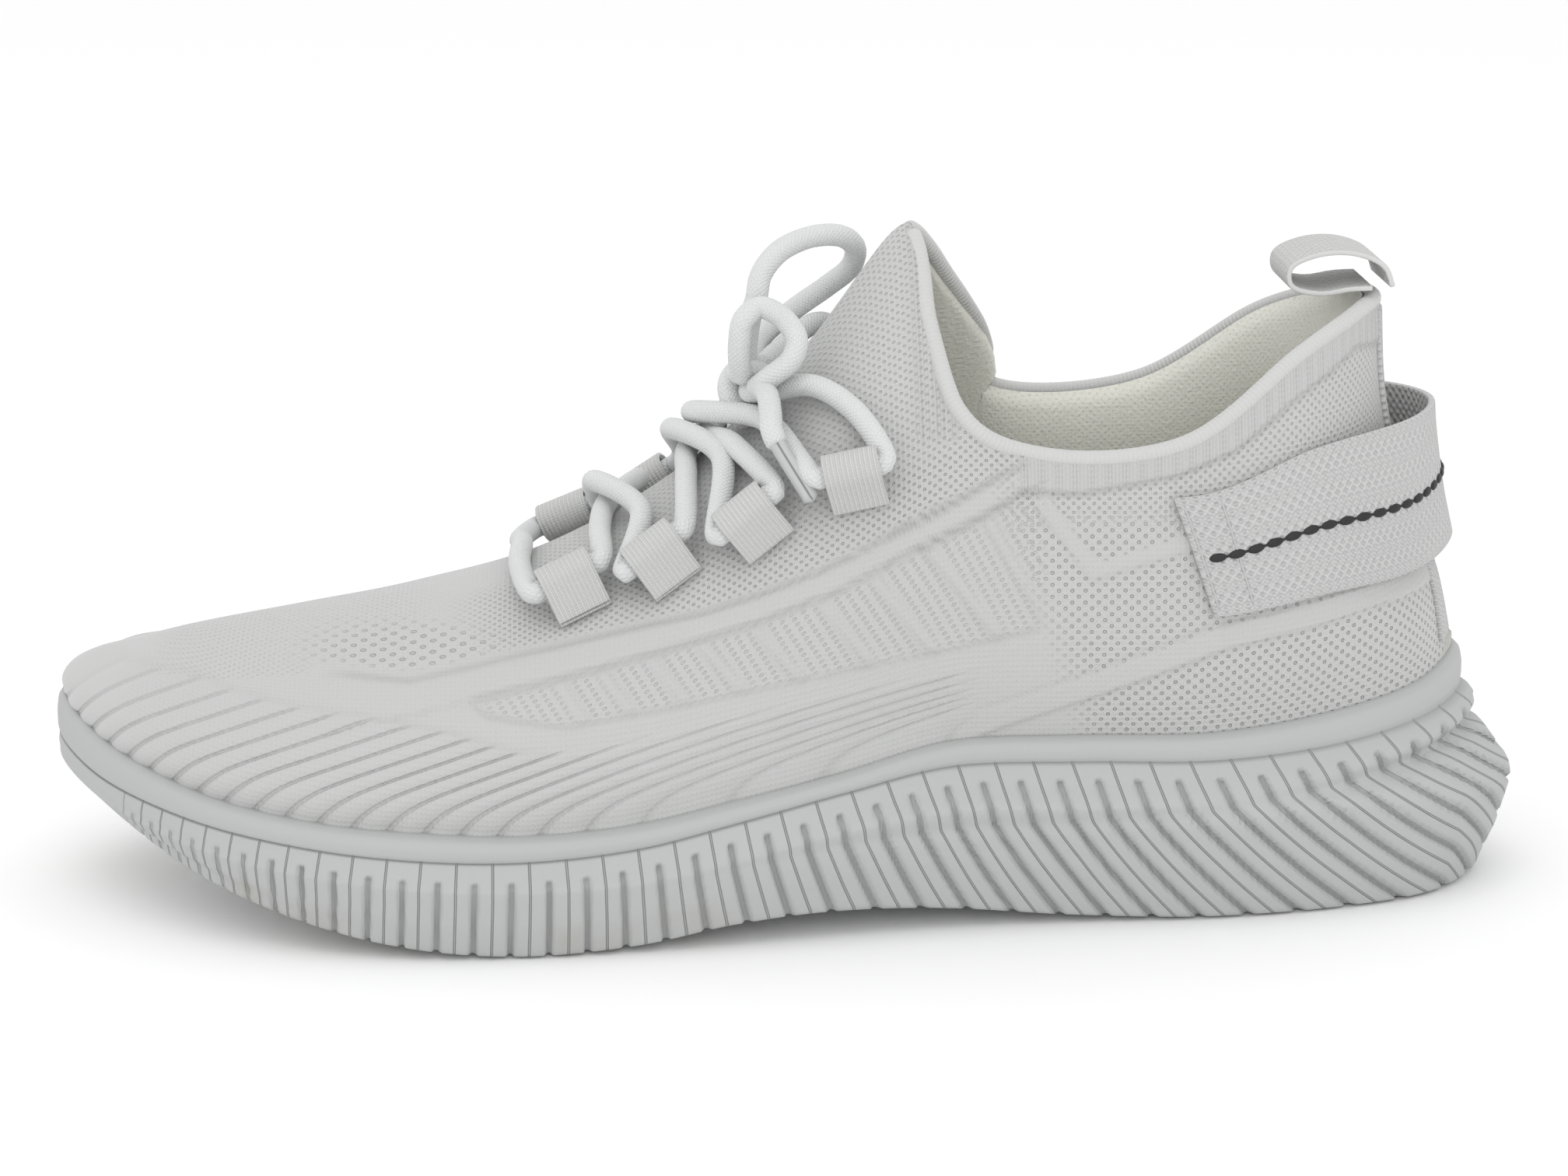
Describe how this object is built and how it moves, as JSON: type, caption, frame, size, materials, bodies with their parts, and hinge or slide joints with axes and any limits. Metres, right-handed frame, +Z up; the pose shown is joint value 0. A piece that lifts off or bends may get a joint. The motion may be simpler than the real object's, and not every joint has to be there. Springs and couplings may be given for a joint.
{
  "type": "running shoe",
  "caption": "Low knitted running shoe with a ribbed foam sole, a lace tied in a bow through webbing loops, a webbing strap round the heel and a pull tab.",
  "frame": {"origin": "middle of the outline, at floor height", "axes": "+Y to the toe, +Z up, +X to the inner side of the foot"},
  "size_m": [0.1092, 0.2938, 0.1325],
  "materials": {
    "foam": "satin moulded foam",
    "board": "matt needled board",
    "lining": "matt textile",
    "knit": "matt knit",
    "plastic": "matt",
    "padding": "open cell foam",
    "webbing": "woven tape",
    "thread": "matt thread",
    "lace": "braided cord",
    "aglet": "clear film"
  },
  "bodies": {
    "rear": {"sole_unit_rear": "foam", "strobel_board_rear": "board", "insole_rear": "lining", "knit_upper_rear": "knit", "knit_upper_flex": "knit", "heel_counter": "plastic", "collar_foam": "padding", "heel_lining": "lining", "lace_loop_outer_1": "webbing", "lace_loop_outer_2": "webbing", "lace_loop_outer_3": "webbing", "lace_loop_outer_4": "webbing", "lace_loop_inner_1": "webbing", "lace_loop_inner_2": "webbing", "lace_loop_inner_3": "webbing", "lace_loop_inner_4": "webbing", "lace_laced": "lace", "lace_knot": "lace", "lace_bow_outer": "lace", "lace_bow_inner": "lace", "lace_end_outer": "lace", "lace_end_inner": "lace", "aglet_outer": "aglet", "aglet_inner": "aglet", "heel_tape": "webbing", "heel_strap": "webbing", "strap_thread": "thread"},
    "front": {"sole_unit_front": "foam", "strobel_board_front": "board", "insole_front": "lining", "knit_upper_front": "knit", "toe_puff": "plastic"},
    "tab": {"pull_tab": "webbing"}
  },
  "joints": [
    {"name": "toe_flex", "type": "hinge", "parent": "rear", "child": "front", "pos_m": [0, 0.0581, 0.023], "axis": [1, 0, 0], "range_deg": [0, 30], "stiffness_Nm_per_rad": 0.6, "deforming": ["knit_upper_flex"]},
    {"name": "pull_tab", "type": "hinge", "parent": "rear", "child": "tab", "pos_m": [0, -0.1164, 0.1195], "axis": [1, 0, 0], "range_deg": [0, 110], "stiffness_Nm_per_rad": 0.002}
  ]
}
